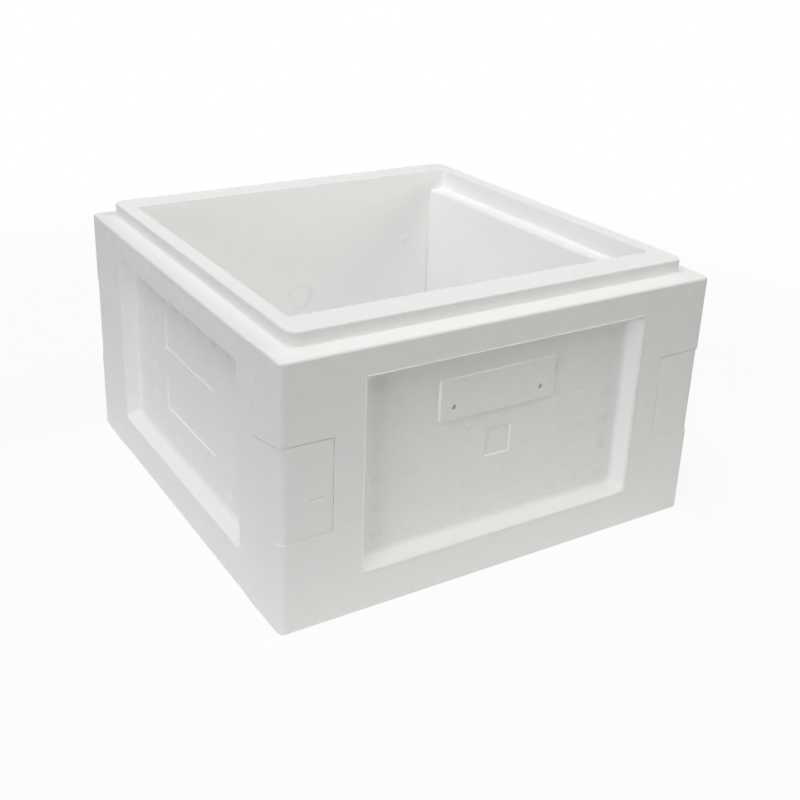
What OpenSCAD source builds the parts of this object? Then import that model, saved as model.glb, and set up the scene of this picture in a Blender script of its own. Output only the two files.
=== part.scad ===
// Foam body of a small mating hive: four panels joined at the corners by through dovetails.
// Origin at the middle of the base, +Z up, -Y towards the front panel. Millimetres.

/* [Box] */
// Outer width, across the left and right panels
box_w = 300; // [270:1:400]
// Outer depth, across the front and back panels
box_d = 300; // [270:1:400]
// Height of the outer walls, up to the ledge
body_h = 166.5; // [155:0.5:260]
// Thickness of every panel
wall = 33; // [30:0.5:42]

/* [Rim and rebates] */
// Height of the stacking rim above the ledge
rim_h = 9; // [5:0.5:14]
// Width of the ledge outside the rim
ledge_w = 12; // [9:0.5:14]
// Width of the rebate that carries the frame lugs
rest_w = 10.5; // [6:0.5:13]
// Depth of that rebate below the top of the rim
rest_drop = 15; // [10:0.5:24]
// Clearance between the rim and the base of the next box
stack_gap = 0.5; // [0.3:0.1:1.5]

/* [Corner dovetails] */
// Height of a tail's lower edge on the front and back faces
tail_base = 58.5; // [50:0.5:70]
// Height of a tail on the front and back faces
tail_h = 58; // [40:1:66]
// How far each edge of a tail closes in towards its root
tail_flare = 6.2; // [3:0.1:9]
// Clearance on every mating face of a dovetail
tail_gap = 0.3; // [0.2:0.05:0.6]

/* [Panel recess] */
// Band left beside the recess, from the corner joint
recess_side = 19.5; // [10:0.5:28]
// Band left below the recess
recess_base = 26.5; // [18:0.5:34]
// Band left above the recess, down from the ledge
recess_head = 19.5; // [14:0.5:26]
// Depth of the recess
recess_deep = 10.5; // [7:0.5:14]
// How far each side of the recess closes in over its depth
recess_draft = 3.3; // [1:0.1:6]

/* [Plate and pad of the front and back panels] */
// Width of the raised plate
plate_w = 82; // [50:1:100]
// Height of the raised plate
plate_h = 26; // [18:1:30]
// Gap from the top edge of the recess down to the plate
plate_down = 17; // [12:0.5:26]
// Sideways shift of the plate
plate_shift = -3; // [-10:0.5:10]
// How far the plate stands proud of the recess floor
plate_proud = 2; // [1:0.1:3]
// Side of the sunken square pad
pad_size = 18; // [12:0.5:22]
// Gap from the plate down to the pad
pad_down = 13; // [8:0.5:18]
// Depth of the pad below the recess floor
pad_sunk = 1; // [0.6:0.1:2]

/* [Fields of the left and right panels] */
// Width of the sunken fields
field_w = 81; // [50:1:100]
// Height of the upper field
upper_field_h = 28; // [18:1:30]
// Height of the lower field
lower_field_h = 24.5; // [18:0.5:30]
// Gap from the top edge of the recess down to the upper field
field_down = 18; // [12:0.5:24]
// Gap between the two fields
field_gap = 19.5; // [8:0.5:24]
// Depth of the fields below the recess floor
field_sunk = 1.2; // [0.6:0.1:2]

/* [Edges] */
// Radius of the upright outer corners
corner_r = 4; // [3.5:0.5:8]
// Radius of the rim's corners in plan
rim_corner_r = 7; // [4:0.5:10]
// Radius along the ledge's outer edge
ledge_r = 3; // [1:0.5:3]
// Radius along the rim's top edge
rim_r = 1.5; // [1:0.5:3]
// Radius along the base's outer edge
foot_r = 1.5; // [0.5:0.5:3]

/* [Hidden] */
$fn = 64;

// How far a cutting shape runs past the face that it cuts, and a joined one into what carries it
over = 1;
// Least amount by which a corner's radius stays above that of the edge that runs round it
corner_spare = 0.5;

half_w = box_w / 2;
half_d = box_d / 2;
inner_w = box_w - 2 * wall;
inner_d = box_d - 2 * wall;
total_h = body_h + rim_h;
rim_w = box_w - 2 * ledge_w;
rim_d = box_d - 2 * ledge_w;
base_rebate_h = rim_h + stack_gap;
tail_top = tail_base + tail_h;
recess_h = body_h - recess_base - recess_head;
recess_top = recess_base + recess_h;
plate_base = recess_top - plate_down - plate_h;
pad_base = plate_base - pad_down - pad_size;
upper_field_base = recess_top - field_down - upper_field_h;
lower_field_base = upper_field_base - field_gap - lower_field_h;

// Rectangle with round corners, centred
module round_rect(w, d, r) {
    square([w - 2 * r, d], center = true);
    square([w, d - 2 * r], center = true);
    for (x = [-1, 1], y = [-1, 1])
        translate([x * (w / 2 - r), y * (d / 2 - r)]) circle(r);
}

// Section of the waste outside a rounded edge: the edge's corner is at the origin, with solid at -x and -y
module edge_waste(r) {
    difference() {
        translate([-r, -r]) square(r + over);
        translate([-r, -r]) circle(r);
    }
}

// Waste outside the rounded top edge of a round-cornered block, whose top is at z = 0
module top_edge_waste(w, d, corner, edge_r) {
    r = min(edge_r, corner - corner_spare);
    for (turn = [0, 180]) rotate(turn) {
        translate([w / 2, d / 2 - corner, 0]) rotate([90, 0, 0]) linear_extrude(d - 2 * corner) edge_waste(r);
        rotate(90) translate([d / 2, w / 2 - corner, 0]) rotate([90, 0, 0])
            linear_extrude(w - 2 * corner) edge_waste(r);
    }
    for (x = [-1, 1], y = [-1, 1])
        mirror([x < 0 ? 1 : 0, 0, 0]) mirror([0, y < 0 ? 1 : 0, 0])
            translate([w / 2 - corner, d / 2 - corner, 0])
                rotate_extrude(angle = 90) translate([corner, 0]) edge_waste(r);
}

// The four walls as one ring, with the rim, the ledge and the rebates, before it is parted into panels
module wall_ring() {
    difference() {
        union() {
            difference() {
                linear_extrude(body_h) round_rect(box_w, box_d, corner_r);
                translate([0, 0, body_h]) top_edge_waste(box_w, box_d, corner_r, ledge_r);
                mirror([0, 0, 1]) top_edge_waste(box_w, box_d, corner_r, foot_r);
            }
            difference() {
                linear_extrude(total_h) round_rect(rim_w, rim_d, rim_corner_r);
                translate([0, 0, total_h]) top_edge_waste(rim_w, rim_d, rim_corner_r, rim_r);
            }
        }
        translate([0, 0, -over])
            linear_extrude(total_h + 2 * over) square([inner_w, inner_d], center = true);
        translate([0, 0, -over])
            linear_extrude(base_rebate_h + over)
                round_rect(rim_w + 2 * stack_gap, rim_d + 2 * stack_gap, rim_corner_r);
        translate([0, 0, total_h - rest_drop])
            linear_extrude(rest_drop + over) square([inner_w + 2 * rest_w, inner_d], center = true);
    }
}

// Pocket in the front face, with sides that close in as it deepens: a wide and a tall wedge where they meet
module recess_pocket(face_w, span) {
    mouth = recess_draft * over / recess_deep;
    intersection() {
        linear_extrude(body_h)
            polygon([[-span / 2 - mouth, -face_w / 2 - over], [span / 2 + mouth, -face_w / 2 - over],
                     [span / 2 - recess_draft, -face_w / 2 + recess_deep],
                     [-span / 2 + recess_draft, -face_w / 2 + recess_deep]]);
        rotate([90, 0, 90]) translate([0, 0, -span])
            linear_extrude(2 * span)
                polygon([[-face_w / 2 - over, recess_base - mouth], [-face_w / 2 - over, recess_top + mouth],
                         [-face_w / 2 + recess_deep, recess_top - recess_draft],
                         [-face_w / 2 + recess_deep, recess_base + recess_draft]]);
    }
}

// Block that stands on, or is cut into, the recess floor of the front face
module floor_block(face_w, shift, base, w, h, low, high) {
    translate([shift - w / 2, -face_w / 2 + recess_deep - high, base]) cube([w, high - low, h]);
}

// Tail at the front end of the left panel, as a prism across it that runs into its end, larger by gap
module left_tail(gap) {
    root_y = -inner_d / 2 + tail_gap + over;
    slope = tail_flare / wall;
    low = function (y) tail_base + slope * (y + half_d) - gap;
    high = function (y) tail_top - slope * (y + half_d) + gap;
    face_y = -half_d - over;
    translate([-half_w - over, 0, 0]) rotate([90, 0, 90])
        linear_extrude(wall + over + gap)
            polygon([[face_y, low(face_y)], [root_y, low(root_y)], [root_y, high(root_y)], [face_y, high(face_y)]]);
}

// A pin panel: half pins above and below a socket at each end, recess, plate and pad on its outer face
module pin_panel() {
    difference() {
        intersection() {
            wall_ring();
            translate([-half_w - over, -half_d - over, -over])
                cube([box_w + 2 * over, wall + over, total_h + 2 * over]);
        }
        left_tail(tail_gap);
        mirror([1, 0, 0]) left_tail(tail_gap);
        recess_pocket(box_d, inner_w - 2 * recess_side);
        floor_block(box_d, 0, pad_base, pad_size, pad_size, -pad_sunk, over);
    }
    floor_block(box_d, plate_shift, plate_base, plate_w, plate_h, -over, plate_proud);
}

// A tail panel: a tail at each end, a frame rest inside, and two sunken fields in the recess
module tail_panel() {
    slab_d = inner_d - 2 * tail_gap;
    difference() {
        intersection() {
            wall_ring();
            union() {
                translate([-half_w - over, -slab_d / 2, -over])
                    cube([wall + over, slab_d, total_h + 2 * over]);
                left_tail(0);
                mirror([0, 1, 0]) left_tail(0);
            }
        }
        rotate(-90) {
            recess_pocket(box_w, inner_d - 2 * recess_side);
            floor_block(box_w, 0, upper_field_base, field_w, upper_field_h, -field_sunk, over);
            floor_block(box_w, 0, lower_field_base, field_w, lower_field_h, -field_sunk, over);
        }
    }
}

module front_panel() {
    color("whitesmoke") pin_panel();
}

module back_panel() {
    color("whitesmoke") rotate(180) pin_panel();
}

module left_panel() {
    color("whitesmoke") tail_panel();
}

module right_panel() {
    color("whitesmoke") rotate(180) tail_panel();
}

front_panel();
back_panel();
left_panel();
right_panel();
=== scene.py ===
"""Foam body of a small mating hive: four moulded panels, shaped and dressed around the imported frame."""

from __future__ import annotations

import logging
import math
from dataclasses import dataclass, replace
from enum import Enum
from typing import ClassVar

import bmesh
import bpy
from mathutils import Euler, Matrix, Vector


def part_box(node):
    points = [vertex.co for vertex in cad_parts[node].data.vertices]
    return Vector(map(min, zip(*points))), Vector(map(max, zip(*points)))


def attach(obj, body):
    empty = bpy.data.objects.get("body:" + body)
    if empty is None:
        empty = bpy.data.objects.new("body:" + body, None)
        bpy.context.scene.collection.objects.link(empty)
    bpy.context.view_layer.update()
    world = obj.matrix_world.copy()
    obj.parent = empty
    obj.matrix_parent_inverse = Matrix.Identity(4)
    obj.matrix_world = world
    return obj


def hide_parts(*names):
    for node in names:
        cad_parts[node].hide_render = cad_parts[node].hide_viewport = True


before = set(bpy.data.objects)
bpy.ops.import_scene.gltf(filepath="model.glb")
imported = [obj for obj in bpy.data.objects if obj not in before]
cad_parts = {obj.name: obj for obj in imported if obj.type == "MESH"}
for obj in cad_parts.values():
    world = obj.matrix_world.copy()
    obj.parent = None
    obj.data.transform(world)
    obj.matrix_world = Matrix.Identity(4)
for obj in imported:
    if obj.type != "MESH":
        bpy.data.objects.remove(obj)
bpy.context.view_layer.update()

LOG = logging.getLogger("hive_body")
Span = tuple[float, float]
EVERYWHERE: Span = (-math.inf, math.inf)
WHITE = (1.0, 1.0, 1.0, 1.0)
# One millimetre, in metres
MM = 0.001
# How far a point may lie off a plane and still count as in it
SLACK = 0.002 * MM
# Faces that meet at more than this angle show a crease
CREASE = math.radians(35)


def at(place: float) -> Span:
    """Returns the span that holds one place alone."""
    return (place, place)


def both_sides(count: int) -> range:
    """Returns the columns of a grid, with as many on either side of the middle one."""
    return range(-count, count + 1)


class Bend(Enum):
    """Which way the faces beside an edge turn."""

    OUTER = 1
    INNER = -1


class Turn(Enum):
    """How a panel is turned about the upright axis from where its moulding is drawn."""

    NONE = 0
    HALF = 180


class Axis(Enum):
    """The axes, by their place in a vector."""

    X = 0
    Y = 1
    Z = 2

    @property
    def way(self) -> Vector:
        """One unit along the axis."""
        return Vector([1.0 if self.value == other else 0.0 for other in range(3)])


@dataclass(frozen=True)
class Zone:
    """A box that picks out faces or edges. A side that isn't given has no limit."""

    x: Span = EVERYWHERE
    y: Span = EVERYWHERE
    z: Span = EVERYWHERE

    @property
    def spans(self) -> tuple[Span, Span, Span]:
        """The limits along the three axes."""
        return (self.x, self.y, self.z)

    @property
    def flat(self) -> Axis:
        """The axis along which an outline on a flat face has one place alone."""
        return next(axis for axis in Axis if self.spans[axis.value][0] == self.spans[axis.value][1])

    def along(self, axis: Axis, span: Span) -> Zone:
        """Returns the same box with other limits along one axis."""
        return replace(self, **{axis.name.lower(): span})

    def grown(self, margin: float) -> Zone:
        """Returns the box with a margin all round."""
        return Zone(*[(low - margin, high + margin) for low, high in self.spans])

    def holds(self, point: Vector) -> bool:
        """Returns whether a point lies in the box."""
        spans = zip(point, self.spans)
        return all(low - SLACK <= value <= high + SLACK for value, (low, high) in spans)

    def swallows(self, part: bmesh.types.BMFace | bmesh.types.BMEdge) -> bool:
        """Returns whether every corner of a face or an edge lies in the box."""
        return all(self.holds(corner.co) for corner in part.verts)


class FoamBlock:
    """A closed solid of foam that is scored with planes, pushed outwards or inwards, and rounded."""

    # Edges that turn more than this can be rounded
    SHARP = math.radians(30)
    # Faces that turn less than this are joined
    FLAT = math.radians(0.4)
    # Room left round a patch, beyond its own rounded edge
    MARGIN = 0.05 * MM

    def __init__(self, zone: Zone) -> None:
        """Starts from a plain block.

        Args:
            zone: The block's box, with limits on every side.
        """
        self.mesh = bmesh.new()
        low = Vector((zone.x[0], zone.y[0], zone.z[0]))
        high = Vector((zone.x[1], zone.y[1], zone.z[1]))
        place = Matrix.Translation((low + high) / 2) @ Matrix.Diagonal((*(high - low), 1.0))
        bmesh.ops.create_cube(self.mesh, size=1.0, matrix=place)

    def faces(self, *zones: Zone) -> list[bmesh.types.BMFace]:
        """Returns the faces that lie wholly in one of the zones."""
        return [face for face in self.mesh.faces if any(zone.swallows(face) for zone in zones)]

    def edges(self, zone: Zone, bend: Bend, skip: tuple[Zone, ...] = ()) -> list[bmesh.types.BMEdge]:
        """Finds sharp edges.

        Args:
            zone: Where the whole edge lies.
            bend: The way that its faces turn.
            skip: Zones whose edges are left out.

        Returns:
            The edges, in the mesh's own order.
        """
        return [
            edge
            for edge in self.mesh.edges
            if edge.calc_face_angle_signed(0.0) * bend.value > self.SHARP
            and zone.swallows(edge)
            and not any(other.swallows(edge) for other in skip)
        ]

    def score(self, zone: Zone, point: Vector, normal: Vector) -> None:
        """Cuts the faces of a zone along a plane.

        Args:
            zone: Where the faces lie.
            point: A point of the plane.
            normal: The plane's normal.
        """
        faces = self.faces(zone)
        edges = dict.fromkeys(edge for face in faces for edge in face.edges)
        corners = dict.fromkeys(corner for face in faces for corner in face.verts)
        geometry = [*faces, *edges, *corners]
        bmesh.ops.bisect_plane(self.mesh, geom=geometry, dist=SLACK, plane_co=point, plane_no=normal)

    def score_box(self, zone: Zone, box: Zone) -> None:
        """Cuts the faces of a zone along every limit of a box.

        Args:
            zone: Where the faces lie.
            box: The box, whose open sides cut nothing.
        """
        for axis in Axis:
            for place in box.spans[axis.value]:
                if math.isfinite(place):
                    self.score(zone, axis.way * place, axis.way)

    def push(self, zones: list[Zone], shift: Vector, scale: Vector | None = None) -> None:
        """Moves the faces of some zones, with new walls behind them.

        Args:
            zones: Where the faces lie.
            shift: How far they move.
            scale: How much they grow about their own middle, if they do.
        """
        faces = self.faces(*zones)
        grown = bmesh.ops.extrude_face_region(self.mesh, geom=faces)
        bmesh.ops.delete(self.mesh, geom=faces, context="FACES")
        corners = [part for part in grown["geom"] if isinstance(part, bmesh.types.BMVert)]
        bmesh.ops.translate(self.mesh, vec=shift, verts=corners)
        if scale is not None:
            spans = [[corner.co[axis] for corner in corners] for axis in range(3)]
            middle = Vector([(min(span) + max(span)) / 2 for span in spans])
            bmesh.ops.scale(self.mesh, vec=scale, space=Matrix.Translation(-middle), verts=corners)
        self.mesh.normal_update()

    def tidy(self) -> None:
        """Joins faces that lie in one plane, and drops corners that nothing needs."""
        corners, edges = list(self.mesh.verts), list(self.mesh.edges)
        bmesh.ops.dissolve_limit(self.mesh, angle_limit=self.FLAT, verts=corners, edges=edges)
        self.mesh.normal_update()

    def round(
        self, zone: Zone, radius: float, bend: Bend = Bend.OUTER, skip: tuple[Zone, ...] = (), steps: int = 3
    ) -> None:
        """Rounds the sharp edges of a zone.

        Args:
            zone: Where the edges lie.
            radius: The radius.
            bend: The way that their faces turn.
            skip: Zones whose edges stay as they are.
            steps: How many facets the round has.
        """
        edges = self.edges(zone, bend, skip)
        if not edges:
            LOG.warning("no edge to round in %s", zone)
            return
        bmesh.ops.bevel(
            self.mesh,
            geom=edges,
            offset=radius,
            offset_type="OFFSET",
            affect="EDGES",
            segments=steps,
            profile=0.5,
            material=-1,
            loop_slide=True,
            clamp_overlap=False,
        )
        self.mesh.normal_update()

    def emboss(self, outline: Zone, shift: Vector, bend: Bend, corner: float, edge: float) -> None:
        """Raises or sinks a patch of a flat face, with round corners and soft edges.

        Args:
            outline: The patch, in the plane of the face.
            shift: How far it moves.
            bend: OUTER for a patch that is raised, INNER for one that is sunk.
            corner: Radius of its corners in the plane of the face.
            edge: Radius of the edge that moved with it, and of a sunk patch's mouth.
        """
        flat = outline.flat
        start = outline.spans[flat.value][0]
        end = start + shift[flat.value]
        across, upwards = [axis for axis in Axis if axis is not flat]
        margin = 2 * edge + self.MARGIN
        border = outline.grown(margin).along(flat, at(start))
        self.score_box(Zone().along(flat, at(start)), border.along(flat, EVERYWHERE))
        bmesh.ops.inset_region(self.mesh, faces=self.faces(border), thickness=margin, use_even_offset=True)
        self.push([outline], shift)
        wall = Zone().along(flat, (min(start, end), max(start, end)))
        for first in outline.spans[across.value]:
            for second in outline.spans[upwards.value]:
                self.round(wall.along(across, at(first)).along(upwards, at(second)), corner, bend, steps=4)
        self.round(outline.along(flat, at(end)), edge, bend)
        if bend is Bend.INNER:
            self.round(outline, edge)


@dataclass(frozen=True)
class HiveSizes:
    """Sizes that the four panels share. The outer ones come from the frame."""

    half_width: float
    half_depth: float
    wall: float
    top: float
    # Rim, ledge and frame rest
    rim_height: float = 9 * MM
    ledge_width: float = 12 * MM
    ledge_fall: float = 1.5 * MM
    rest_width: float = 10.5 * MM
    rest_drop: float = 15 * MM
    stack_gap: float = 0.5 * MM
    # Corner dovetails
    tail_base: float = 58.5 * MM
    tail_height: float = 58 * MM
    tail_flare: float = 6.2 * MM
    tail_gap: float = 0.05 * MM
    # Recess in the outer face
    recess_side: float = 19.5 * MM
    recess_base: float = 26.5 * MM
    recess_head: float = 19.5 * MM
    recess_depth: float = 10.5 * MM
    recess_draft: float = 3.3 * MM
    # Rounded edges
    corner_radius: float = 4 * MM
    rim_corner_radius: float = 7 * MM
    ledge_radius: float = 1.5 * MM
    rim_radius: float = 1.3 * MM
    rim_root_radius: float = 0.6 * MM
    foot_radius: float = 1.5 * MM
    lip_radius: float = 1 * MM
    seam_radius: float = 0.9 * MM
    recess_corner_radius: float = 3.5 * MM
    recess_floor_radius: float = 2.5 * MM
    recess_mouth_radius: float = 1 * MM

    @classmethod
    def from_frame(cls) -> HiveSizes:
        """Returns the sizes of the panels that the frame holds."""
        low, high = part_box("front_panel")
        return cls(half_width=high.x, half_depth=-low.y, wall=high.y - low.y, top=high.z)

    @property
    def ledge(self) -> float:
        """Height of the ledge, where it meets the rim."""
        return self.top - self.rim_height

    @property
    def ledge_edge(self) -> float:
        """Height of the ledge's outer edge, to which it falls a little."""
        return self.ledge - self.ledge_fall

    @property
    def rebate(self) -> float:
        """Height of the rebate under the box, which takes the rim of the next one."""
        return self.rim_height + self.stack_gap

    @property
    def rest(self) -> float:
        """Height of the frame rest."""
        return self.top - self.rest_drop

    @property
    def recess_span(self) -> Span:
        """Lower and upper edge of the recess."""
        return (self.recess_base, self.ledge - self.recess_head)

    @property
    def tail_span(self) -> Span:
        """Lower and upper edge of a tail, at its outer end."""
        return (self.tail_base, self.tail_base + self.tail_height)

    def tail_root(self, depth: float) -> Span:
        """Returns the lower and upper edge of a tail, at a depth below the outer face."""
        closing = self.tail_flare * depth / self.wall
        return (self.tail_span[0] + closing, self.tail_span[1] - closing)


@dataclass(frozen=True)
class RaisedBar:
    """Straight ridge on the foam, left by the mould."""

    width: float = 0.5 * MM
    proud: float = 0.25 * MM

    def stamp(self, mesh: bmesh.types.BMesh, place: Vector, along: Vector, out: Vector) -> None:
        """Adds the ridge.

        Args:
            mesh: The mesh that takes it.
            place: The ridge's middle, on the foam's face.
            along: The way that it runs, as long as the ridge is.
            out: The way that the face looks.
        """
        way = along.normalized()
        basis = Matrix((way, out.cross(way), out)).transposed().to_4x4()
        size = Matrix.Diagonal((along.length, self.width, 2 * self.proud, 1.0))
        bmesh.ops.create_cube(mesh, size=1.0, matrix=Matrix.Translation(place) @ basis @ size)


@dataclass(frozen=True)
class SteamVent:
    """Round patch of short raised bars, left where steam entered the mould."""

    radius: float = 4 * MM
    bars: int = 5
    pitch: float = 1.45 * MM
    bar: RaisedBar = RaisedBar()

    def stamp(self, mesh: bmesh.types.BMesh, place: Vector, out: Vector) -> None:
        """Adds the bars of one vent.

        Args:
            mesh: The mesh that takes them.
            place: The vent's middle, on the foam's face.
            out: The way that the face looks.
        """
        across = Axis.Z.way.cross(out)
        for index in range(self.bars):
            rise = (index - (self.bars - 1) / 2) * self.pitch
            length = 2 * math.sqrt(self.radius**2 - rise**2)
            self.bar.stamp(mesh, place + Axis.Z.way * rise, across * length, out)


@dataclass(frozen=True)
class MouldRing:
    """Thin round ridge, left by the edge of an insert in the mould."""

    radius: float
    width: float = 1 * MM
    proud: float = 0.3 * MM
    steps: int = 48

    def stamp(self, mesh: bmesh.types.BMesh, place: Vector, out: Vector) -> None:
        """Adds the ridge.

        Args:
            mesh: The mesh that takes it.
            place: The ring's middle, on the foam's face.
            out: The way that the face looks.
        """
        start = place + Axis.Z.way * self.radius
        half = Axis.Z.way * self.width / 2
        rise = out * self.proud
        section = [start - half - rise, start - half / 2 + rise, start + half / 2 + rise, start + half - rise]
        corners = [mesh.verts.new(corner) for corner in section]
        sides = [mesh.edges.new((corners[index - 1], corners[index])) for index in range(len(corners))]
        bmesh.ops.spin(
            mesh,
            geom=[*corners, *sides],
            cent=place,
            axis=out,
            angle=math.tau,
            steps=self.steps,
            use_merge=True,
        )


@dataclass
class FoamPanel:
    """What the panels share: where they stand, a recess in the outer face, and the marks of the mould."""

    FLAT: ClassVar[Axis]

    name: str
    body: str
    turn: Turn
    sizes: HiveSizes
    floor_vent: SteamVent = SteamVent(bar=RaisedBar(proud=0.35 * MM))
    band_vent: SteamVent = SteamVent(bar=RaisedBar(proud=0.15 * MM))
    inner_vent: SteamVent = SteamVent(bar=RaisedBar(proud=0.08 * MM))
    floor_vent_pitch: float = 20.7 * MM
    floor_vent_rise: float = 18.75 * MM
    floor_vent_base: float = 41 * MM
    floor_vent_rows: int = 6
    floor_vent_columns: int = 4
    band_vent_pitch: float = 19.1 * MM
    band_vent_height: float = 156 * MM
    inner_vent_top: float = 161 * MM
    inner_vent_rise: float = 20.4 * MM
    inner_vent_rows: int = 5
    inner_vent_columns: int = 5
    vent_margin: float = 5.5 * MM

    @property
    def reach(self) -> float:
        """Half of the outer face's length."""
        return self.sizes.half_width if self.FLAT is Axis.Y else self.sizes.half_depth

    @property
    def face(self) -> float:
        """Place of the outer face."""
        return -self.sizes.half_depth if self.FLAT is Axis.Y else -self.sizes.half_width

    @property
    def inner(self) -> float:
        """Place of the inner face."""
        return self.face + self.sizes.wall

    @property
    def floor(self) -> float:
        """Place of the recess floor."""
        return self.face + self.sizes.recess_depth

    @property
    def recess(self) -> Zone:
        """The mouth of the recess."""
        half = self.reach - self.sizes.wall - self.sizes.recess_side
        return self.outline((-half, half), self.sizes.recess_span)

    def outline(self, across: Span, height: Span, depth: float = 0.0) -> Zone:
        """Returns an outline in a plane that lies at a depth below the outer face.

        Args:
            across: Its limits along the panel.
            height: Its limits in height.
            depth: How deep it lies.

        Returns:
            The outline.
        """
        place = at(self.face + depth)
        if self.FLAT is Axis.Y:
            return Zone(across, place, height)
        return Zone(place, across, height)

    def spot(self, across: float, height: float, depth: float = 0.0) -> Vector:
        """Returns a point that lies at a depth below the outer face."""
        return Vector([span[0] for span in self.outline(at(across), at(height), depth).spans])

    def sink_recess(self, block: FoamBlock) -> None:
        """Sinks the recess, with sides that close in, and rounds its edges.

        Args:
            block: The panel's foam.
        """
        sizes = self.sizes
        mouth = self.recess
        across = Axis.X if self.FLAT is Axis.Y else Axis.Y
        closing = Vector((1, 1, 1))
        for axis in (across, Axis.Z):
            low, high = mouth.spans[axis.value]
            closing[axis.value] = 1 - 2 * sizes.recess_draft / (high - low)
        block.score_box(Zone().along(self.FLAT, at(self.face)), mouth.along(self.FLAT, EVERYWHERE))
        block.push([mouth], self.FLAT.way * sizes.recess_depth, closing)
        for side in mouth.spans[across.value]:
            for edge in mouth.z:
                corner = Zone().along(across, at(side)).along(Axis.Z, at(edge))
                inside = corner.grown(sizes.recess_draft)
                block.round(inside, sizes.recess_corner_radius, Bend.INNER, steps=4)
        floor = Zone().along(self.FLAT, at(self.floor))
        block.round(floor, sizes.recess_floor_radius, Bend.INNER, steps=4)
        block.round(mouth, sizes.recess_mouth_radius)

    def mark(self) -> bmesh.types.BMesh:
        """Stamps the marks that the mould left on the panel.

        Returns:
            A mesh of the marks, where the moulding is drawn.
        """
        mesh = bmesh.new()
        out = -self.FLAT.way
        for place in self.floor_vents():
            self.floor_vent.stamp(mesh, place, out)
        for place in self.band_vents():
            self.band_vent.stamp(mesh, place, out)
        for place in self.inner_vents():
            self.inner_vent.stamp(mesh, place, -out)
        return mesh

    def floor_vents(self) -> list[Vector]:
        """Places the vents of the recess floor, clear of what else is on it.

        Returns:
            The middle of each vent.
        """
        floor = self.recess.grown(-self.sizes.recess_draft - self.vent_margin).along(self.FLAT, EVERYWHERE)
        taken = [patch.grown(self.vent_margin) for patch in self.patches()]
        heights = [self.floor_vent_base + row * self.floor_vent_rise for row in range(self.floor_vent_rows)]
        places = [
            self.spot(column * self.floor_vent_pitch, height, self.sizes.recess_depth)
            for height in heights
            for column in both_sides(self.floor_vent_columns)
        ]
        clear = [place for place in places if not any(zone.holds(place) for zone in taken)]
        return [place for place in clear if floor.holds(place)]

    def band_vents(self) -> list[Vector]:
        """Places the vents of the band above the recess.

        Returns:
            The middle of each vent.
        """
        room = int((self.band_reach() - self.vent_margin) / self.band_vent_pitch)
        shifts = [column * self.band_vent_pitch for column in both_sides(room)]
        return [self.spot(shift, self.band_vent_height) for shift in shifts]

    def inner_vents(self) -> list[Vector]:
        """Places the vents of the inner face, clear of what else is on it.

        Returns:
            The middle of each vent.
        """
        heights = [self.inner_vent_top - row * self.inner_vent_rise for row in range(self.inner_vent_rows)]
        limit = self.inner_limit() - self.vent_margin
        return [
            self.spot(column * self.band_vent_pitch, height, self.sizes.wall)
            for height in heights
            if height < limit
            for column in both_sides(self.inner_vent_columns)
            if not self.inner_taken(column * self.band_vent_pitch, height)
        ]

    def patches(self) -> list[Zone]:
        """Returns the outlines on the recess floor that carry no vents."""
        return []

    def band_reach(self) -> float:
        """Returns half of the length of the band above the recess."""
        return self.reach

    def inner_limit(self) -> float:
        """Returns the height of the inner face's upper edge."""
        return self.sizes.top

    def inner_taken(self, across: float, height: float) -> bool:
        """Returns whether something else is moulded at a place of the inner face."""
        return False


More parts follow.
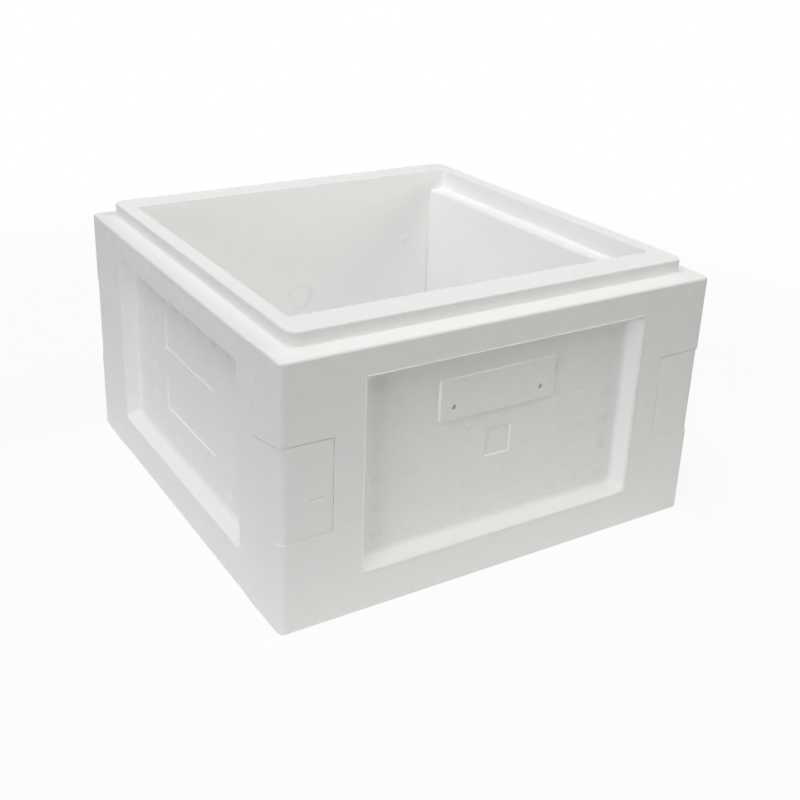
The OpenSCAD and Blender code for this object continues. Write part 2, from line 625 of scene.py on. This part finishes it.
@dataclass
class PinPanel(FoamPanel):
    """Front or back panel: half pins beside the sockets, and a bare plate and a pad in its recess."""

    FLAT: ClassVar[Axis] = Axis.Y

    plate_width: float = 82 * MM
    plate_height: float = 26 * MM
    plate_down: float = 17 * MM
    plate_shift: float = -3 * MM
    plate_proud: float = 2 * MM
    pad_size: float = 18 * MM
    pad_down: float = 13 * MM
    pad_sunk: float = 1 * MM
    trim_corner: float = 0.5 * MM
    trim_radius: float = 0.4 * MM
    dimple_size: float = 3.6 * MM
    dimple_depth: float = 2.5 * MM
    dimple_reach: float = 31 * MM
    dimple_rise: float = 8 * MM
    dimple_roundness: float = 0.96
    dimple_edge: float = 0.15 * MM
    side_vent_reach: float = 109.5 * MM
    side_vent_heights: tuple[float, float] = (87 * MM, 116 * MM)
    base_vent_height: float = 12 * MM
    base_vent_columns: tuple[int, ...] = (-7, -4, -1, 2, 5)
    ring_height: float = 89 * MM
    small_rings: tuple[MouldRing, MouldRing] = (
        MouldRing(10.5 * MM, proud=0.5 * MM),
        MouldRing(8.3 * MM, proud=0.5 * MM),
    )
    large_ring: MouldRing = MouldRing(24 * MM)
    large_ring_shift: float = -87 * MM
    flash: RaisedBar = RaisedBar(proud=0.35 * MM)
    tick: RaisedBar = RaisedBar(width=2 * MM, proud=1.5 * MM)
    tick_length: float = 6 * MM
    tick_shift: float = -93 * MM
    tick_height: float = 123 * MM

    @property
    def plate(self) -> Zone:
        """The plate's outline on the recess floor.

        Returns:
            The outline.
        """
        top = self.sizes.recess_span[1] - self.plate_down
        half = self.plate_width / 2
        across = (self.plate_shift - half, self.plate_shift + half)
        return self.outline(across, (top - self.plate_height, top), self.sizes.recess_depth)

    @property
    def pad(self) -> Zone:
        """The pad's outline on the recess floor.

        Returns:
            The outline.
        """
        top = self.plate.z[0] - self.pad_down
        half = self.pad_size / 2
        return self.outline((-half, half), (top - self.pad_size, top), self.sizes.recess_depth)

    @property
    def socket(self) -> float:
        """How far the floor of a socket lies from the panel's middle."""
        return self.sizes.half_width - self.sizes.wall - self.sizes.tail_gap

    @property
    def rebate_plan(self) -> Zone:
        """The plan of the rebate under the panel, which has a lip on three sides.

        Returns:
            The plan, at every height.
        """
        lip = self.sizes.ledge_width - self.sizes.stack_gap
        reach = self.sizes.half_width - lip
        return Zone((-reach, reach), (self.face + lip, self.inner))

    def build(self) -> FoamBlock:
        """Shapes the panel, where its moulding is drawn.

        Returns:
            The panel's foam.
        """
        block = self.shape_pins()
        self.shape_rim(block)
        self.round_uprights(block)
        self.sink_recess(block)
        self.round_rims(block)
        self.round_seams(block)
        self.shape_floor(block)
        return block

    def shape_pins(self) -> FoamBlock:
        """Shapes the slab with its half pins.

        Returns:
            The panel's foam so far.
        """
        sizes = self.sizes
        socket = self.socket
        slope = sizes.tail_flare / sizes.wall
        low, high = sizes.tail_span
        low_point = Vector((0, self.face, low - sizes.tail_gap))
        high_point = Vector((0, self.face, high + sizes.tail_gap))
        root_low, root_high = sizes.tail_root(sizes.wall)
        block = FoamBlock(Zone((-socket, socket), (self.face, self.inner), (sizes.rebate, sizes.ledge_edge)))
        for side in (-1, 1):
            end = Zone(x=at(side * socket))
            block.score(end, low_point, Vector((0, -slope, 1)))
            block.score(end, high_point, Vector((0, slope, 1)))
            heights = [(sizes.rebate, root_low), (root_high, sizes.ledge_edge)]
            pins = [end.along(Axis.Z, span) for span in heights]
            block.push(pins, Vector((side * (sizes.half_width - socket), 0, 0)))
        block.tidy()
        return block

    def shape_rim(self, block: FoamBlock) -> None:
        """Raises the falling ledge and the stacking rim, and lowers the lip round the base rebate.

        Args:
            block: The panel's foam.
        """
        sizes = self.sizes
        narrowing = Vector((1 - sizes.ledge_width / sizes.half_width, 1 - sizes.ledge_width / sizes.wall, 1))
        rise = Vector((0, sizes.ledge_width / 2, sizes.ledge_fall))
        block.push([Zone(z=at(sizes.ledge_edge))], rise, narrowing)
        block.push([Zone(z=at(sizes.ledge))], Vector((0, 0, sizes.rim_height)))
        plan = self.rebate_plan
        base = Zone(z=at(sizes.rebate))
        block.score_box(base, plan)
        lips = [
            base.along(Axis.Y, (self.face, plan.y[0])),
            base.along(Axis.X, (-sizes.half_width, plan.x[0])),
            base.along(Axis.X, (plan.x[1], sizes.half_width)),
        ]
        block.push(lips, Vector((0, 0, -sizes.rebate)))
        block.tidy()

    def round_uprights(self, block: FoamBlock) -> None:
        """Rounds the upright corners of the panel, of its rim and of its rebate.

        Args:
            block: The panel's foam.
        """
        sizes = self.sizes
        plan = self.rebate_plan
        for side, lip in zip((-1, 1), plan.x):
            end = at(side * sizes.half_width)
            block.round(Zone(end, at(self.face)), sizes.corner_radius, steps=6)
            block.round(Zone(end, at(self.inner)), sizes.seam_radius)
            rim = at(side * (sizes.half_width - sizes.ledge_width))
            block.round(Zone(rim, at(self.face + sizes.ledge_width)), sizes.rim_corner_radius, steps=8)
            block.round(Zone(at(lip), at(plan.y[0])), sizes.rim_corner_radius, Bend.INNER, steps=8)

    def round_rims(self, block: FoamBlock) -> None:
        """Rounds the edges of the ledge, the rim and the base.

        Args:
            block: The panel's foam.
        """
        sizes = self.sizes
        joint = Zone(y=(self.inner - sizes.seam_radius, self.inner))
        plan = self.rebate_plan
        block.round(Zone(z=at(sizes.ledge_edge)), sizes.ledge_radius, skip=(joint,))
        block.round(Zone(z=at(sizes.ledge)), sizes.rim_root_radius, Bend.INNER)
        block.round(Zone(z=at(sizes.top)), sizes.rim_radius, skip=(joint,), steps=4)
        block.round(Zone(y=at(self.inner), z=at(sizes.top)), sizes.lip_radius)
        block.round(Zone(z=at(0)), sizes.foot_radius, skip=(joint, plan), steps=4)
        block.round(plan.along(Axis.Z, at(0)), sizes.lip_radius, skip=(joint,))
        block.round(Zone(y=at(self.inner), z=at(sizes.rebate)), sizes.lip_radius)

    def round_seams(self, block: FoamBlock) -> None:
        """Rounds the edges where the pins meet the tails.

        Args:
            block: The panel's foam.
        """
        sizes = self.sizes
        low, high = sizes.tail_span
        heights = (low - sizes.tail_gap, high + sizes.tail_gap)
        for side in (-1, 1):
            reach = tuple(sorted((side * self.socket, side * sizes.half_width)))
            block.round(Zone(x=reach, z=heights), sizes.seam_radius)

    def shape_floor(self, block: FoamBlock) -> None:
        """Raises the plate with its two dimples, and sinks the pad.

        Args:
            block: The panel's foam.
        """
        corner, edge = self.trim_corner, self.trim_radius
        block.emboss(self.plate, Vector((0, -self.plate_proud, 0)), Bend.OUTER, corner, edge)
        block.emboss(self.pad, Vector((0, self.pad_sunk, 0)), Bend.INNER, corner, edge)
        half = self.dimple_size / 2
        rise = self.plate.z[0] + self.dimple_rise
        depth = self.sizes.recess_depth - self.plate_proud
        sunk = Vector((0, self.dimple_depth, 0))
        for side in (-1, 1):
            middle = self.plate_shift + side * self.dimple_reach
            dimple = self.outline((middle - half, middle + half), (rise - half, rise + half), depth)
            block.emboss(dimple, sunk, Bend.INNER, self.dimple_roundness * half, self.dimple_edge)

    def mark(self) -> bmesh.types.BMesh:
        """Stamps the marks that the mould left on the panel.

        Returns:
            A mesh of the marks, where the moulding is drawn.
        """
        mesh = super().mark()
        middle = self.spot(0, self.ring_height, self.sizes.wall)
        for ring in self.small_rings:
            ring.stamp(mesh, middle, self.FLAT.way)
        self.large_ring.stamp(mesh, middle + Axis.X.way * self.large_ring_shift, self.FLAT.way)
        tick = self.spot(self.tick_shift, self.tick_height, self.sizes.wall)
        self.tick.stamp(mesh, tick, Axis.X.way * self.tick_length, self.FLAT.way)
        self.edge_recess(mesh)
        return mesh

    def edge_recess(self, mesh: bmesh.types.BMesh) -> None:
        """Adds the ridges round the mouth of the recess.

        Args:
            mesh: The mesh that takes them.
        """
        out = -self.FLAT.way
        mouth = self.recess.grown(self.sizes.recess_mouth_radius)
        (left, right), (low, high) = mouth.x, mouth.z
        for side in mouth.x:
            self.flash.stamp(mesh, self.spot(side, (low + high) / 2), Axis.Z.way * (high - low), out)
        for edge in mouth.z:
            self.flash.stamp(mesh, self.spot((left + right) / 2, edge), Axis.X.way * (right - left), out)

    def band_vents(self) -> list[Vector]:
        """Places the vents of the band all round the recess.

        Returns:
            The middle of each vent.
        """
        places = super().band_vents()
        for side in (-1, 1):
            places += [self.spot(side * self.side_vent_reach, height) for height in self.side_vent_heights]
        for column in self.base_vent_columns:
            places.append(self.spot(column * self.band_vent_pitch, self.base_vent_height))
        return places

    def patches(self) -> list[Zone]:
        """Returns the outlines of the plate and the pad."""
        return [self.plate, self.pad]

    def inner_taken(self, across: float, height: float) -> bool:
        """Tells whether a ring is moulded at a place of the inner face.

        Args:
            across: The place along the panel.
            height: Its height.

        Returns:
            True where a vent would touch a ring.
        """
        place = Vector((across, height))
        small, large = Vector((0, self.ring_height)), Vector((self.large_ring_shift, self.ring_height))
        near_small = (place - small).length < self.small_rings[0].radius + self.vent_margin
        return near_small or (place - large).length < self.large_ring.radius + self.vent_margin


@dataclass
class TailPanel(FoamPanel):
    """Left or right panel: a flared tail at each end, a frame rest inside, and two fields in its recess."""

    FLAT: ClassVar[Axis] = Axis.X

    nicked: bool = False
    field_width: float = 81 * MM
    upper_field_height: float = 28 * MM
    lower_field_height: float = 24.5 * MM
    field_down: float = 18 * MM
    field_gap: float = 19.5 * MM
    field_sunk: float = 1.2 * MM
    tail_corner_radius: float = 6 * MM
    tail_edge_radius: float = 1.3 * MM
    groove_down: float = 0.7 * MM
    groove_width: float = 0.5 * MM
    groove_depth: float = 0.5 * MM
    groove_corner: float = 0.2 * MM
    groove_edge: float = 0.12 * MM
    rest_radius: float = 1.5 * MM
    trim_corner: float = 0.6 * MM
    trim_radius: float = 0.4 * MM
    nick_across: Span = (18 * MM, 27 * MM)
    nick_height: Span = (81.1 * MM, 82.3 * MM)
    nick_depth: float = 0.9 * MM
    nick_corner: float = 0.5 * MM
    nick_edge: float = 0.3 * MM

    @property
    def slab(self) -> float:
        """Half of the slab's length, between the roots of its tails."""
        return self.sizes.half_depth - self.sizes.wall - self.sizes.tail_gap

    @property
    def rest_wall(self) -> float:
        """Place of the wall behind the frame rest."""
        return self.inner - self.sizes.rest_width

    @property
    def fields(self) -> list[Zone]:
        """The two fields on the recess floor.

        Returns:
            Their outlines.
        """
        half = self.field_width / 2
        top = self.sizes.recess_span[1] - self.field_down
        middle = top - self.upper_field_height - self.field_gap
        spans = [(top - self.upper_field_height, top), (middle - self.lower_field_height, middle)]
        return [self.outline((-half, half), span, self.sizes.recess_depth) for span in spans]

    def build(self) -> FoamBlock:
        """Shapes the panel, where its moulding is drawn.

        Returns:
            The panel's foam.
        """
        block = self.shape_slab()
        self.shape_tails(block)
        self.sink_recess(block)
        self.round_rims(block)
        self.part_ledge(block)
        sunk = Vector((self.field_sunk, 0, 0))
        for outline in self.fields:
            block.emboss(outline, sunk, Bend.INNER, self.trim_corner, self.trim_radius)
        if self.nicked:
            self.nick_tail(block)
        return block

    def shape_slab(self) -> FoamBlock:
        """Shapes the slab with its rim, its frame rest and the lip at its base.

        Returns:
            The panel's foam so far.
        """
        sizes = self.sizes
        block = FoamBlock(Zone((self.face, self.inner), (-self.slab, self.slab), (sizes.rebate, sizes.rest)))
        rest = Zone(z=at(sizes.rest))
        block.score(rest, Vector((self.rest_wall, 0, 0)), Axis.X.way)
        outside = rest.along(Axis.X, (self.face, self.rest_wall))
        block.push([outside], Vector((0, 0, sizes.ledge_edge - sizes.rest)))
        narrowing = Vector((1 - sizes.ledge_width / (self.rest_wall - self.face), 1, 1))
        rise = Vector((sizes.ledge_width / 2, 0, sizes.ledge_fall))
        block.push([Zone(z=at(sizes.ledge_edge))], rise, narrowing)
        block.push([Zone(z=at(sizes.ledge))], Vector((0, 0, sizes.rim_height)))
        base = Zone(z=at(sizes.rebate))
        lip = self.face + sizes.ledge_width - sizes.stack_gap
        block.score(base, Vector((lip, 0, 0)), Axis.X.way)
        block.push([base.along(Axis.X, (self.face, lip))], Vector((0, 0, -sizes.rebate)))
        block.tidy()
        return block

    def shape_tails(self, block: FoamBlock) -> None:
        """Draws a flared tail out of each end, and rounds it.

        Args:
            block: The panel's foam.
        """
        sizes = self.sizes
        reach = sizes.wall + sizes.tail_gap
        root = sizes.tail_root(reach)
        flare = sizes.tail_height / (root[1] - root[0])
        for side in (-1, 1):
            end = Zone(y=at(side * self.slab))
            block.score_box(end, Zone(z=root))
            block.push([end.along(Axis.Z, root)], Vector((0, side * reach, 0)), Vector((1, 1, flare)))
            block.tidy()
            tail_end = at(side * sizes.half_depth)
            block.round(Zone(at(self.face), tail_end), self.tail_corner_radius, steps=6)
            block.round(Zone(y=tail_end), self.tail_edge_radius)
            block.round(Zone(at(self.face), end.y), sizes.seam_radius)

    def round_rims(self, block: FoamBlock) -> None:
        """Rounds the edges of the ledge, the rim, the frame rest and the base.

        Args:
            block: The panel's foam.
        """
        sizes = self.sizes
        rim = self.face + sizes.ledge_width
        block.round(Zone(at(self.face), z=at(sizes.ledge_edge)), sizes.ledge_radius)
        block.round(Zone(at(rim), z=at(sizes.ledge)), sizes.rim_root_radius, Bend.INNER)
        block.round(Zone(at(rim), z=at(sizes.top)), sizes.rim_radius, steps=4)
        block.round(Zone(at(self.rest_wall), z=at(sizes.top)), sizes.lip_radius)
        block.round(Zone(at(self.rest_wall), z=at(sizes.rest)), self.rest_radius, Bend.INNER)
        block.round(Zone(at(self.inner), z=at(sizes.rest)), self.rest_radius)
        block.round(Zone(at(self.face), z=at(0)), sizes.foot_radius, steps=4)

    def part_ledge(self, block: FoamBlock) -> None:
        """Draws the fine line where the two halves of the mould met, below the ledge.

        Args:
            block: The panel's foam.
        """
        top = self.sizes.ledge_edge - self.sizes.ledge_radius - self.groove_down
        half = self.slab - self.sizes.seam_radius - self.groove_width
        groove = self.outline((-half, half), (top - self.groove_width, top))
        sunk = Vector((self.groove_depth, 0, 0))
        block.emboss(groove, sunk, Bend.INNER, self.groove_corner, self.groove_edge)

    def nick_tail(self, block: FoamBlock) -> None:
        """Presses a small nick into the end of the tail that looks to the front.

        Args:
            block: The panel's foam.
        """
        across = tuple(self.face + place for place in self.nick_across)
        nick = Zone(across, at(-self.sizes.half_depth), self.nick_height)
        block.emboss(nick, Vector((0, self.nick_depth, 0)), Bend.INNER, self.nick_corner, self.nick_edge)

    def patches(self) -> list[Zone]:
        """Returns the outlines of the fields."""
        return self.fields

    def band_reach(self) -> float:
        """Returns half of the length of the band above the recess."""
        return self.slab

    def inner_limit(self) -> float:
        """Returns the height of the frame rest."""
        return self.sizes.rest


class Signal:
    """A shader socket that takes part in sums: each operation adds one Math node."""

    def __init__(self, desk: ShaderDesk, socket: bpy.types.NodeSocket) -> None:
        """Wraps an output socket of the desk's tree."""
        self.desk = desk
        self.socket = socket

    def _math(self, operation: str, first: Signal | float, second: Signal | float) -> Signal:
        """Returns the outcome of one Math node."""
        return self.desk.node("ShaderNodeMath", {"operation": operation}, {0: first, 1: second}).out(0)

    def __add__(self, other: Signal | float) -> Signal:
        """Returns the sum."""
        return self._math("ADD", self, other)

    __radd__ = __add__

    def __sub__(self, other: Signal | float) -> Signal:
        """Returns the difference."""
        return self._math("SUBTRACT", self, other)

    def __rsub__(self, other: float) -> Signal:
        """Returns a number less this signal."""
        return self._math("SUBTRACT", other, self)

    def __mul__(self, other: Signal | float) -> Signal:
        """Returns the product."""
        return self._math("MULTIPLY", self, other)

    __rmul__ = __mul__


class ShaderNode:
    """A node that has been set up, with its outputs as signals."""

    def __init__(self, desk: ShaderDesk, node: bpy.types.Node) -> None:
        """Wraps a node of the desk's tree."""
        self.desk = desk
        self.node = node

    def out(self, name: str | int) -> Signal:
        """Returns one output."""
        return Signal(self.desk, self.node.outputs[name])


class ShaderDesk:
    """Where a material's or the world's nodes are laid out."""

    def __init__(self, owner: bpy.types.Material | bpy.types.World) -> None:
        """Clears the owner's node tree.

        Args:
            owner: The material or the world.
        """
        owner.use_nodes = True
        self.tree = owner.node_tree
        self.tree.nodes.clear()

    def node(self, kind: str, settings: dict[str, object], sockets: dict[str | int, object]) -> ShaderNode:
        """Adds a node.

        Args:
            kind: The node's type.
            settings: Its properties, set before its sockets.
            sockets: A value or a signal for each input that is set.

        Returns:
            The node.
        """
        node = self.tree.nodes.new(kind)
        for name, value in settings.items():
            setattr(node, name, value)
        for name, value in sockets.items():
            if isinstance(value, Signal):
                self.tree.links.new(value.socket, node.inputs[name])
            else:
                node.inputs[name].default_value = value
        return ShaderNode(self, node)

    def step(self, value: Signal, reach: Span, results: Span) -> Signal:
        """Adds a smooth step from one result to another.

        Args:
            value: What the step follows.
            reach: The values at which it begins and ends.
            results: The results before and after it.

        Returns:
            The result.
        """
        limits = {"From Min": reach[0], "From Max": reach[1], "To Min": results[0], "To Max": results[1]}
        settings = {"interpolation_type": "SMOOTHSTEP"}
        return self.node("ShaderNodeMapRange", settings, {"Value": value, **limits}).out("Result")


@dataclass(frozen=True)
class FoamFinish:
    """Moulded bead foam: white, matt, with the faint cells of the beads that were fused in the mould."""

    name: str = "moulded_bead_foam"
    colour: tuple[float, float, float] = (0.976, 0.985, 0.97)
    shade: tuple[float, float, float] = (0.946, 0.956, 0.94)
    bead: float = 3.2 * MM
    bead_weight: float = 0.35
    cloud: float = 60 * MM
    cloud_detail: float = 3.0
    cloud_weight: float = 0.35
    seam_share: float = 0.10
    seam_weight: float = 0.3
    relief: float = 0.12 * MM
    relief_strength: float = 0.5
    roughness: float = 0.62
    roughness_spread: float = 0.08
    refraction: float = 1.45
    gloss: float = 0.2

    def build(self) -> bpy.types.Material:
        """Lays out the material's nodes.

        Returns:
            The material.
        """
        material = bpy.data.materials.new(self.name)
        desk = ShaderDesk(material)
        place = desk.node("ShaderNodeTexCoord", {}, {}).out("Object")
        beads = {"Vector": place, "Scale": 1 / self.bead}
        clouds = {"Vector": place, "Scale": 1 / self.cloud, "Detail": self.cloud_detail}
        cells = desk.node("ShaderNodeTexVoronoi", {"feature": "F1"}, beads)
        seams = desk.node("ShaderNodeTexVoronoi", {"feature": "DISTANCE_TO_EDGE"}, beads).out("Distance")
        cloud = desk.node("ShaderNodeTexNoise", {}, clouds).out("Fac")
        joint = desk.step(seams, (0.0, self.seam_share), (0.0, 1.0))
        tone = desk.node("ShaderNodeSeparateColor", {}, {0: cells.out("Color")}).out(0)
        white = self.bead_weight * tone + self.cloud_weight * cloud + self.seam_weight * joint
        colour = desk.node(
            "ShaderNodeMix",
            {"data_type": "RGBA"},
            {0: white, 6: (*self.shade, 1.0), 7: (*self.colour, 1.0)},
        )
        bump = desk.node(
            "ShaderNodeBump", {}, {"Height": joint, "Distance": self.relief, "Strength": self.relief_strength}
        )
        surface = desk.node(
            "ShaderNodeBsdfPrincipled",
            {},
            {
                "Base Color": colour.out(2),
                "Roughness": self.roughness - self.roughness_spread * tone,
                "Normal": bump.out("Normal"),
                "IOR": self.refraction,
                "Specular IOR Level": self.gloss,
            },
        )
        desk.node("ShaderNodeOutputMaterial", {}, {"Surface": surface.out("BSDF")})
        return material


@dataclass(frozen=True)
class SoftLamp:
    """A square soft lamp, at a direction in degrees and a distance from the point that it faces."""

    name: str
    azimuth: float
    elevation: float
    power: float
    distance: float = 6.0
    size: float = 3.8
    tint: tuple[float, float, float] = (1.0, 1.0, 1.0)

    def hang(self, middle: Vector) -> None:
        """Hangs the lamp.

        Args:
            middle: The point that it faces.
        """
        light = bpy.data.lights.new(self.name, "AREA")
        light.size = self.size
        light.energy = self.power
        light.color = self.tint
        lamp = bpy.data.objects.new(self.name, light)
        turn, rise = math.radians(self.azimuth), math.radians(self.elevation)
        way = Vector((math.cos(rise) * math.cos(turn), math.cos(rise) * math.sin(turn), math.sin(rise)))
        lamp.location = middle + way * self.distance
        lamp.rotation_euler = (-way).to_track_quat("-Z", "Y").to_euler()
        lamp.visible_camera = False
        bpy.context.scene.collection.objects.link(lamp)


@dataclass
class Studio:
    """White sheet under the box, soft lamps and the camera."""

    COOL: ClassVar[tuple[float, float, float]] = (0.985, 0.995, 1.02)
    WARM: ClassVar[tuple[float, float, float]] = (1.01, 1.0, 0.94)

    lamps: tuple[SoftLamp, ...] = (
        SoftLamp("left_steep", -157.5, 72, 88, tint=COOL),
        SoftLamp("left_high", -157.5, 52, 33),
        SoftLamp("left_low", -157.5, 13, 88, size=2.4),
        SoftLamp("front_high", -112.5, 52, 33),
        SoftLamp("front_low", -95, 13, 7, size=2.4, tint=WARM),
        SoftLamp("right_middle", -22.5, 29, 103, tint=WARM),
        SoftLamp("right_low", -60, 13, 30, size=2.4, tint=WARM),
        SoftLamp("back_high", 112.5, 52, 53, tint=COOL),
        SoftLamp("top_wide", 0, 90, 50, size=5.0, tint=COOL),
        SoftLamp("top_small", 0, 90, 0.2, distance=0.52, size=0.22),
        SoftLamp("inside", 0, -90, 0.05, distance=0.08, size=0.2),
    )
    lamp_aim: tuple[float, float, float] = (0.0, 0.0, 0.1)
    # White sheet, and the darker floor round it
    floor_size: float = 12.0
    sheet_white: float = 0.95
    sheet_middle: tuple[float, float, float] = (-0.07, 0.0, 0.0)
    sheet_bounce: float = 0.8
    sheet_reach: Span = (0.15, 0.74)
    shadow_reach: Span = (0.4, 0.9)
    surround: float = 0.04
    shadow_share: float = 0.12
    # Camera, fitted to the edges of the box in the photograph
    camera_place: tuple[float, float, float] = (-0.376412, -0.612647, 0.392367)
    camera_turn: tuple[float, float, float] = (67.9833, -1.3908, -30.1527)
    lens: float = 50.6132
    sensor: float = 36.0
    shift: tuple[float, float] = (0.04633, -0.08695)
    clip: Span = (0.01, 50.0)

    def build(self) -> None:
        """Makes the floor, the light and the camera."""
        self.lay_floor()
        self.light_world()
        for lamp in self.lamps:
            lamp.hang(Vector(self.lamp_aim))
        self.set_camera()

    def lay_floor(self) -> None:
        """Lays a white sheet on a floor that gives back little light, and shows both white with a shadow."""
        grid = bmesh.new()
        bmesh.ops.create_grid(grid, x_segments=1, y_segments=1, size=self.floor_size / 2)
        mesh = bpy.data.meshes.new("floor")
        grid.to_mesh(mesh)
        grid.free()
        floor = bpy.data.objects.new("floor", mesh)
        bpy.context.scene.collection.objects.link(floor)
        material = bpy.data.materials.new("white_floor")
        desk = ShaderDesk(material)
        seen = self.seen_rays(desk)
        place = desk.node("ShaderNodeTexCoord", {}, {}).out("Object")
        off = desk.node("ShaderNodeVectorMath", {"operation": "DISTANCE"}, {0: place, 1: self.sheet_middle})
        bounce = desk.step(off.out("Value"), self.sheet_reach, (self.sheet_bounce, self.surround))
        shade = desk.step(off.out("Value"), self.shadow_reach, (self.shadow_share, 0.0))
        white = bounce + seen * (self.sheet_white - bounce)
        paint = desk.node("ShaderNodeBsdfDiffuse", {}, {"Color": white})
        glow = desk.node("ShaderNodeEmission", {}, {"Color": WHITE, "Strength": 1.0})
        share = (1 - shade) * seen
        mixed = desk.node("ShaderNodeMixShader", {}, {0: share, 1: paint.out(0), 2: glow.out(0)})
        desk.node("ShaderNodeOutputMaterial", {}, {"Surface": mixed.out(0)})
        mesh.materials.append(material)

    def seen_rays(self, desk: ShaderDesk) -> Signal:
        """Tells the rays that show a surface to the eye, straight or in a reflection, from all others.

        Args:
            desk: The nodes that ask.

        Returns:
            1 for such a ray, and 0 for any other.
        """
        path = desk.node("ShaderNodeLightPath", {}, {})
        straight, mirrored = path.out("Is Camera Ray"), path.out("Is Glossy Ray")
        through = path.out("Is Transmission Ray")
        return 1 - (1 - straight) * (1 - mirrored) * (1 - through)

    def light_world(self) -> None:
        """Shows white behind the box and in its reflections. The world gives no other light."""
        world = bpy.data.worlds.new("studio")
        bpy.context.scene.world = world
        desk = ShaderDesk(world)
        glow = desk.node("ShaderNodeBackground", {}, {"Color": WHITE, "Strength": self.seen_rays(desk)})
        desk.node("ShaderNodeOutputWorld", {}, {"Surface": glow.out(0)})

    def set_camera(self) -> None:
        """Sets the camera where the photograph was taken from."""
        data = bpy.data.cameras.new("camera")
        data.lens = self.lens
        data.sensor_width = self.sensor
        data.shift_x, data.shift_y = self.shift
        data.clip_start, data.clip_end = self.clip
        camera = bpy.data.objects.new("camera", data)
        camera.location = self.camera_place
        camera.rotation_euler = Euler([math.radians(turn) for turn in self.camera_turn], "XYZ")
        bpy.context.scene.collection.objects.link(camera)
        bpy.context.scene.camera = camera


def set_out(mesh: bmesh.types.BMesh, name: str, turn: Turn, finish: bpy.types.Material) -> bpy.types.Object:
    """Makes an object of a mesh, turned to where its panel stands.

    Args:
        mesh: The mesh, which is freed.
        name: The object's name.
        turn: How the panel is turned.
        finish: Its material.

    Returns:
        The object.
    """
    spin = Matrix.Rotation(math.radians(turn.value), 3, "Z")
    bmesh.ops.rotate(mesh, cent=Vector(), matrix=spin, verts=list(mesh.verts))
    bmesh.ops.recalc_face_normals(mesh, faces=list(mesh.faces))
    data = bpy.data.meshes.new(name)
    mesh.to_mesh(data)
    mesh.free()
    data.shade_smooth()
    data.set_sharp_from_angle(angle=CREASE)
    data.materials.append(finish)
    piece = bpy.data.objects.new(name, data)
    bpy.context.scene.collection.objects.link(piece)
    flatten = piece.modifiers.new("flat_faces", "WEIGHTED_NORMAL")
    flatten.keep_sharp = True
    return piece


def seat(panel: PinPanel | TailPanel, foam: bpy.types.Material) -> None:
    """Builds a panel and its mould marks, and lets them ride the panel's body.

    Args:
        panel: The panel.
        foam: The material of both.
    """
    slab = set_out(panel.build().mesh, f"{panel.name}_foam", panel.turn, foam)
    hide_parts(panel.name)
    marks = set_out(panel.mark(), f"{panel.name}_mould_marks", panel.turn, foam)
    for piece in (slab, marks):
        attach(piece, panel.body)
        LOG.info("%s: %d faces on %s", piece.name, len(piece.data.polygons), panel.body)


def main() -> None:
    """Builds the panels, then the studio around them."""
    logging.basicConfig(level=logging.INFO, format="%(name)s: %(message)s")
    bpy.context.scene.view_settings.view_transform = "Standard"
    sizes = HiveSizes.from_frame()
    foam = FoamFinish().build()
    panels = [
        PinPanel("front_panel", "end_panels", Turn.NONE, sizes),
        PinPanel("back_panel", "end_panels", Turn.HALF, sizes),
        TailPanel("left_panel", "left_side", Turn.NONE, sizes, nicked=True),
        TailPanel("right_panel", "right_side", Turn.HALF, sizes),
    ]
    for panel in panels:
        seat(panel, foam)
    Studio().build()


if __name__ == "__main__":
    main()
